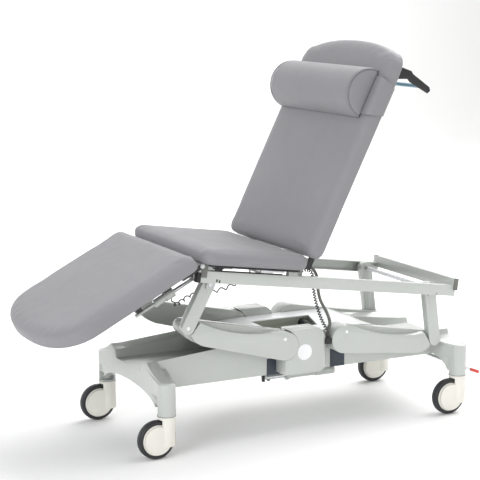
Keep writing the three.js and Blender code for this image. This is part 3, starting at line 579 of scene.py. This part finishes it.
def add_pad(node, axes, body):
    """A padded cover: shrunk, swollen by cloth, crowned, and fitted to the solid it stands for."""
    piece = local_mesh(node, axes, node + "_cover")
    co = vertices(piece.data)
    low, high = co.min(0), co.max(0)
    middle = (low + high) / 2
    inset = np.array([PAD_SLACK, PAD_SLACK, PAD_SLACK / 2])
    scale = 1 - 2 * inset / (high - low)
    middle[2] = low[2]
    set_vertices(piece.data, (co - middle) * scale + middle)
    swell(piece, 0.006, 4.0, PAD_SLACK, held_below=low[2] + 0.004)
    soften(piece, 6)
    co = vertices(piece.data)
    across = np.clip(1 - np.abs(co[:, 1] / (high[1] - 0.02)) ** 2.4, 0, 1)
    down = np.clip(1 - np.abs((co[:, 0] - middle[0]) / ((high[0] - low[0]) / 2 - 0.02)) ** 2.4, 0, 1)
    height = np.clip((co[:, 2] - middle[2]) / (high[2] - low[2]), 0, 1)
    co[:, 2] += PAD_CROWN * across * down * height
    set_vertices(piece.data, co)
    subdivide(piece)
    fill_box(piece, low, high)
    draw_in(piece, node, axes, low[2] + SEAM_BAND)
    piece.data.transform(axes)
    finish_piece(piece, "grey_upholstery", body, (node,))
    return piece


def add_piping(low, high, middle):
    """Piping round the bolster's two D-shaped ends."""
    radius = float(high[0] - low[0]) / 2 - 0.0035
    for word, side in SIDES:
        y = side * (high[1] - 0.006)
        arc = [math.pi * i / 36 for i in range(37)]
        base = Vector((middle[0], y, low[2] + 0.002))
        route = [BACK @ (base + radius * Vector((math.cos(t), 0, math.sin(t)))) for t in arc]
        pipe = round_tube(f"bolster_piping_{word}", route, 0.0022, 8)
        finish_piece(pipe, "grey_upholstery", "bolster")


def add_bolster():
    piece = local_mesh("head_bolster", BACK, "head_bolster_cover")
    co = vertices(piece.data)
    low, high = co.min(0), co.max(0)
    middle = (low + high) / 2
    middle[2] = low[2]
    scale = 1 - 2 * BOLSTER_SLACK / (high - low)
    set_vertices(piece.data, (co - middle) * scale + middle)
    swell(piece, 0.005, 3.0, BOLSTER_SLACK, held_below=low[2] + 0.003)
    soften(piece, 3)
    subdivide(piece)
    fill_box(piece, low, high)
    piece.data.transform(BACK)
    finish_piece(piece, "grey_upholstery", "bolster", ("head_bolster",))
    add_piping(low, high, middle)


def add_strap():
    """The stretch band that holds the bolster: flat across the back, narrowing round each side."""
    face, back = 0.0676, -0.0036
    half = 0.3028
    turn = 0.020
    path = []
    for y in (0.262, 0.270, 0.278):
        path.append((y, face))
    for i in range(9):
        angle = math.pi / 2 * i / 8
        path.append((half - turn + turn * math.sin(angle), face - turn + turn * math.cos(angle)))
    for h in (0.036, 0.026, 0.018):
        path.append((half, h))
    path += [(0.3012, 0.0115), (0.2965, 0.0060), (0.2890, 0.0010), (0.2800, -0.0024)]
    for y in (0.27, 0.2, 0.12, 0.04):
        path.append((y, back))
    path += [(-y, h) for y, h in reversed(path)]
    bm = bmesh.new()
    columns = 9
    rows = []
    for y, h in path:
        share = min(1.0, max(0.0, (face - h) / (face - back)))
        low, high = 0.504 + 0.024 * share, 0.640 - 0.019 * share
        row = []
        for i in range(columns):
            s = low + (high - low) * i / (columns - 1)
            row.append(bm.verts.new(BACK @ Vector((s, y, h))))
        rows.append(row)
    for one, other in zip(rows, rows[1:]):
        for i in range(columns - 1):
            bm.faces.new((one[i], one[i + 1], other[i + 1], other[i]))
    area = sum(f.calc_area() for f in bm.faces)
    piece = from_bmesh("bolster_band", bm)
    solidify = piece.modifiers.new("thickness", "SOLIDIFY")
    solidify.thickness = 0.0012
    solidify.offset = 0
    apply_modifiers(piece)
    finish_piece(piece, "grey_upholstery", "backrest", ("bolster_strap",), sharp=40)


add_pad("seat_pad", TOP, "top_frame")
add_pad("leg_pad", LEG, "leg_section")
add_pad("back_pad", BACK, "backrest")
add_bolster()
add_strap()

# ---------------------------------------------------------------- enamelled and moulded parts


def refined(node, width, segments=3, sharp=32):
    """The node's own shape with its edges rounded, standing for the node."""
    data = frame["nodes"][node].data.copy()
    piece = bpy.data.objects.new(node + "_skin", data)
    bpy.context.scene.collection.objects.link(piece)
    bm = bmesh.new()
    bm.from_mesh(data)
    bmesh.ops.remove_doubles(bm, verts=bm.verts, dist=1e-5)
    flat = math.radians(0.5)
    bmesh.ops.dissolve_limit(bm, angle_limit=flat, verts=bm.verts, edges=bm.edges)
    bm.to_mesh(data)
    bm.free()
    if width:
        bevel = piece.modifiers.new("edges", "BEVEL")
        bevel.width = width
        bevel.segments = segments
        bevel.limit_method = "ANGLE"
        bevel.angle_limit = math.radians(sharp)
        apply_modifiers(piece)
    return finish_piece(piece, SLOT_OF[node], BODY_OF[node], (node,), sharp=sharp)


def add_refined():
    widths = {
        "chassis": 0.0045,
        "top_cover": 0.003,
        "top_frame": 0.0012,
        "lift_actuator": 0.002,
        "back_actuator": 0.002,
        "leg_actuator": 0.002,
        "seat_board": 0.0015,
        "back_board": 0.0015,
        "leg_frame": 0.001,
        "back_frame": 0.0015,
        "roll_holder": 0.001,
        "foot_shaft": 0.0008,
        "cable_gland": 0.0012,
        "brake_bar": 0.0006,
        "brake_pedal": 0.0022,
    }
    for word, _ in SIDES:
        widths[f"fairing_{word}"] = 0.006
        widths[f"rail_cap_{word}"] = 0.0015
        for end in ENDS:
            widths[f"{end}_arm_{word}"] = 0.0065
            widths[f"{end}_link_{word}"] = 0.0055
            widths[f"{end}_pivot_plate_{word}"] = 0.0005
            widths[f"castor_housing_{end}_{word}"] = 0.0018
    for node, width in widths.items():
        piece = refined(node, width)
        # the top cover gets the material whose tray holds painted shade
        if node == "top_cover":
            piece.data.materials[0] = TRAY_SHADED_COVER
    for node in ("lift_rod", "back_rod", "leg_rod", "link_shaft", "roller_shaft", "head_shaft"):
        refined(node, 0.0005)
    for word, _ in SIDES:
        refined(f"head_pin_{word}", 0.0005)


add_refined()


def lathe(name, profile, middle, sides, slot, body, replaced=(), sharp=40):
    """A profile of (radius, y) pairs turned about the Y axis through the middle."""
    rings = []
    for k in range(sides):
        turn = 2 * math.pi * k / sides
        rings.append([
            middle + Vector((r * math.cos(turn), y, r * math.sin(turn))) for r, y in profile
        ])
    piece = from_rings(name, rings, closed=True)
    bm = bmesh.new()
    bm.from_mesh(piece.data)
    bmesh.ops.remove_doubles(bm, verts=bm.verts, dist=1e-6)
    bmesh.ops.recalc_face_normals(bm, faces=bm.faces)
    bm.to_mesh(piece.data)
    bm.free()
    return finish_piece(piece, slot, body, replaced, sharp)


def mirrored_profile(half):
    return half + [(r, -y) for r, y in reversed(half)]


def add_wheels():
    tread = [(0.0505, 0.0135), (0.0535, 0.0150), (0.0570, 0.0146), (0.0600, 0.0125),
             (0.0618, 0.0092), (0.0625, 0.0048)]
    disc = [(0.0010, 0.0172), (0.0120, 0.0172), (0.0400, 0.0168), (0.0440, 0.0156),
            (0.0462, 0.0150), (0.0480, 0.0142), (0.0498, 0.0130), (0.0499, 0.0100)]
    for end in ENDS:
        for word, _ in SIDES:
            place = spot(f"roll_{end}_{word}")
            body = f"wheel_{end}_{word}"
            tyre = f"tyre_{end}_{word}"
            hub = f"hub_{end}_{word}"
            lathe(tyre + "_tread", mirrored_profile(tread), place, 72, "tyre_rubber", body, (tyre,))
            lathe(hub + "_disc", mirrored_profile(disc), place, 72, "castor_cream", body, (hub,))


add_wheels()


def stud(name, middle, radius, height, slot, body, side, dome=0.35):
    """A small domed cap on an XZ face, standing out along the side's direction."""
    edge = min(radius, height) * dome
    profile = [(0.0002, 0.0), (radius, 0.0), (radius, height - edge)]
    profile += [(radius - edge * 0.3, height - edge * 0.3), (radius - edge, height)]
    profile += [(radius * 0.4, height * 1.12), (0.0002, height * 1.15)]
    facing = [(r, side * y) for r, y in profile]
    return lathe(name, facing, middle, 24, slot, body, sharp=60)


def add_details():
    """Screw caps on the arms and link feet, nuts at the top of the foot links, and the plain badge."""
    arm_caps = (("foot", spot("lift"), -0.0035), ("head", spot("head_arms"), 0.0078))
    face = LINK_FACE * MM
    for word, side in SIDES:
        for end, place, shift in arm_caps:
            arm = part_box(f"{end}_arm_{word}")
            y = arm[0].y if side < 0 else arm[1].y
            middle = Vector((place.x + shift, y - side * 0.0005, place.z + 0.0252))
            stud(f"{end}_arm_cap_{word}", middle, 0.0058, 0.0012, "cover_white", f"{end}_arms", side)
        knuckle = spot("foot_link")
        stud(f"foot_link_cap_{word}", Vector((knuckle.x, side * face, knuckle.z)), 0.006, 0.0014,
             "cover_white", "foot_links", side)
        pivot = spot("tilt")
        stud(f"link_nut_{word}", Vector((pivot.x, side * face, pivot.z)), 0.0115, 0.0019,
             "bright_steel", "foot_links", side, 0.5)
    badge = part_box("badge_disc")
    middle = (badge[0] + badge[1]) / 2
    middle.y = badge[1].y
    radius = (badge[1].x - badge[0].x) / 2
    disc = [(0.0002, 0.0), (radius, 0.0), (radius, 0.0007), (radius - 0.0006, 0.0011),
            (radius - 0.003, 0.0011), (radius - 0.0035, 0.0008), (0.0002, 0.0008)]
    lathe("badge_plain", [(r, -y) for r, y in disc], middle, 48, "cover_white", "base", ("badge_disc",))


def block(name, axes, u, y, v, slot, body, edge=0.6):
    """A small bevelled plate between limits in millimetres, in a section's own axes."""
    bm = bmesh.new()
    made = bmesh.ops.create_cube(bm, size=1.0)
    for vert in made["verts"]:
        share = [c + 0.5 for c in vert.co]
        vert.co = [
            (low + (high - low) * part) * MM for (low, high), part in zip((u, y, v), share)
        ]
    bmesh.ops.bevel(bm, geom=bm.edges[:], offset=edge * MM, segments=2, affect="EDGES")
    piece = from_bmesh(name, bm)
    piece.data.transform(axes)
    return finish_piece(piece, slot, body, sharp=40)


def side_span(side, low, high):
    return (low, high) if side > 0 else (-high, -low)


def bolt(name, axes, u, y, v, radius, slot, body, side):
    """A hexagon head over a washer, standing out to the side from a point in millimetres."""
    place = axes @ Vector((u * MM, y * MM, v * MM))
    washer = [(0.0002, 0.0), (radius * 1.25 * MM, 0.0), (radius * 1.25 * MM, 0.0012), (0.0002, 0.0012)]
    lathe(name + "_washer", [(r, side * h) for r, h in washer], place, 24, slot, body)
    head = [(0.0002, 0.0012), (radius * MM, 0.0012), (radius * MM, 0.0044), (radius * 0.8 * MM, 0.0052),
            (0.0002, 0.0052)]
    lathe(name + "_head", [(r, side * h) for r, h in head], place, 6, slot, body, sharp=20)


def add_knee_fittings(word, side):
    """The bracket, bolt and buffer beside the hinge of the leg section."""
    outer = side_span(side, RAIL_FACE, 253.2)
    block(f"knee_bracket_{word}", TOP, (-48, -27), outer, (24, 78), "cable_grey", "top_frame")
    foot = side_span(side, 238, 252.5)
    block(f"knee_foot_{word}", TOP, (-46, -20), foot, (RAIL_TOP, 50), "cable_grey", "top_frame")
    bolt(f"knee_bolt_{word}", TOP, -49, side * 256.2, 61, 6.5, "bright_steel", "leg_section", side)
    # black strip on the rail top: partly the seat board's black edge, partly painted shadow of the board edge and
    # hinge
    strip = side_span(side, 239, 249)
    block(f"board_edge_and_shadow_strip_{word}", TOP, (-18, 250), strip, (RAIL_TOP, 48.6), "black_plastic", "top_frame", 1.0)
    buffer = side_span(side, 233, 252)
    block(f"knee_buffer_{word}", TOP, (-12, 32), buffer, (48.6, 61), "black_plastic", "top_frame", 4.5)


def add_rail_fittings(word, side):
    """End caps, black plates painted on as the slots' shade, bolts and seat clips along one rail."""
    cap = side_span(side, 258.2, 261)
    block(f"rail_end_{word}", TOP, (925, 943), cap, (29, 70), "cable_grey", "top_frame", 0.8)
    # black plates on the rail face stand for the dark openings of two slots: painted shade
    slot_face = side_span(side, 249.4, 250.5)
    for number, (u, v) in enumerate(((11.4, 16.1), (21.3, 13.8))):
        block(f"rail_slot_shade_{word}_{number}", TOP, (u - 2.6, u + 2.6), slot_face, (v - 4.5, v + 4.5),
              "black_plastic", "top_frame", 0.4)
    link_y, rail_y = side * LINK_FACE, side * RAIL_FACE
    bolt(f"foot_link_bolt_{word}", TOP, 5.8, link_y, -3.5, 4.2, "bright_steel", "foot_links", side)
    bolt(f"roller_bolt_{word}", TOP, 855, link_y, 2.0, 5.2, "bright_steel", "head_links", side)
    bolt(f"rail_bolt_{word}", TOP, 868, rail_y, 11.0, 3.4, "bright_steel", "top_frame", side)
    clip, clip_leg = side_span(side, 238, 247), side_span(side, 240, 245)
    block(f"seat_clip_{word}", TOP, (168, 214), clip, (48.8, 62), "bright_steel", "top_frame", 1.2)
    block(f"seat_clip_leg_{word}", TOP, (214, 258), clip_leg, (52, 57), "bright_steel", "top_frame", 1.0)


def add_leg_groove_shades(word, side):
    """A thin dark ring at the narrow gap between each chassis leg and its castor: painted shade standing for a
    groove.
    """
    groove_profile = [(0.0296, -0.0012), (0.0304, -0.0012), (0.0304, 0.0006), (0.0296, 0.0006)]
    turns = [2 * math.pi * k / 48 for k in range(48)]
    for end in ENDS:
        place = spot(f"swivel_{end}_{word}") + Vector((0, 0, 0.0002))
        rings = [[place + Vector((r * math.cos(t), r * math.sin(t), z)) for r, z in groove_profile] for t in turns]
        groove_ring = from_rings(f"leg_groove_shade_{end}_{word}", rings, closed=True)
        # the dark grey of this ring is painted shade for the groove
        finish_piece(groove_ring, "cable_grey", "base", sharp=40)


def add_roll_sleeve():
    along, depth = 0.684, -0.112
    line = [BACK @ Vector((along, y * MM, depth)) for y in (-236, -232, -100, 100, 232, 236)]
    sleeve = finish_piece(round_tube("roll_sleeve", line, 0.0066, 20), "cable_grey", "backrest", sharp=40)
    sleeve.data.materials[0] = PALE_BLUE


def add_hardware():
    for word, side in SIDES:
        add_knee_fittings(word, side)
        add_rail_fittings(word, side)
        add_leg_groove_shades(word, side)
    add_roll_sleeve()


add_details()
add_hardware()

# ---------------------------------------------------------------- floor and light


def add_stage():
    bm = bmesh.new()
    half, near, wall, rise, radius = 9.0, -5.5, 7.0, 9.0, 2.5
    profile = [(near, 0.0), (wall, 0.0)]
    for i in range(1, 13):
        angle = math.pi / 2 * i / 12
        profile.append((wall + radius * math.sin(angle), radius - radius * math.cos(angle)))
    profile.append((wall + radius, rise))
    rows = []
    for y, z in profile:
        rows.append([bm.verts.new((x, y, z - 0.0004)) for x in (-half, half)])
    for one, other in zip(rows, rows[1:]):
        bm.faces.new((one[0], one[1], other[1], other[0]))
    floor = from_bmesh("studio_floor", bm)
    surface = Surface("studio_paper", (0.96, 0.96, 0.96), 0.9)
    surface.mottle(2, 0.004)
    floor.data.materials.append(surface.material)
    for polygon in floor.data.polygons:
        polygon.use_smooth = True


def area_light(name, place, target, size, power, color=(1, 1, 1)):
    data = bpy.data.lights.new(name, "AREA")
    data.shape = "RECTANGLE"
    data.size, data.size_y = size
    data.energy = power
    data.color = color
    light = bpy.data.objects.new(name, data)
    bpy.context.scene.collection.objects.link(light)
    light.location = place
    light.rotation_euler = (Vector(place) - Vector(target)).to_track_quat("Z", "Y").to_euler()


def add_light():
    world = bpy.data.worlds.new("studio")
    world.use_nodes = True
    tree = world.node_tree
    tree.nodes["Background"].inputs["Color"].default_value = (1.0, 0.99, 0.98, 1)
    ray = tree.nodes.new("ShaderNodeLightPath")
    strength = tree.nodes.new("ShaderNodeMapRange")
    strength.inputs["To Min"].default_value = 0.56
    strength.inputs["To Max"].default_value = 1.0
    tree.links.new(ray.outputs["Is Camera Ray"], strength.inputs["Value"])
    tree.links.new(strength.outputs["Result"], tree.nodes["Background"].inputs["Strength"])
    bpy.context.scene.world = world
    target = (0, 0, 0.6)
    area_light("key", (-4.4, -2.4, 2.6), target, (2.8, 2.8), 125, (0.95, 0.975, 1.0))
    area_light("front", (0.6, -5.4, 1.4), target, (3.6, 2.0), 30, (1.0, 0.99, 0.97))
    area_light("top", (2.6, 0.9, 3.9), (0.2, 0, 0.3), (5.0, 5.0), 250)
    area_light("backdrop", (0.8, 3.2, 3.4), (0.8, 9.5, 2.4), (7.0, 2.0), 420)


add_stage()
add_light()
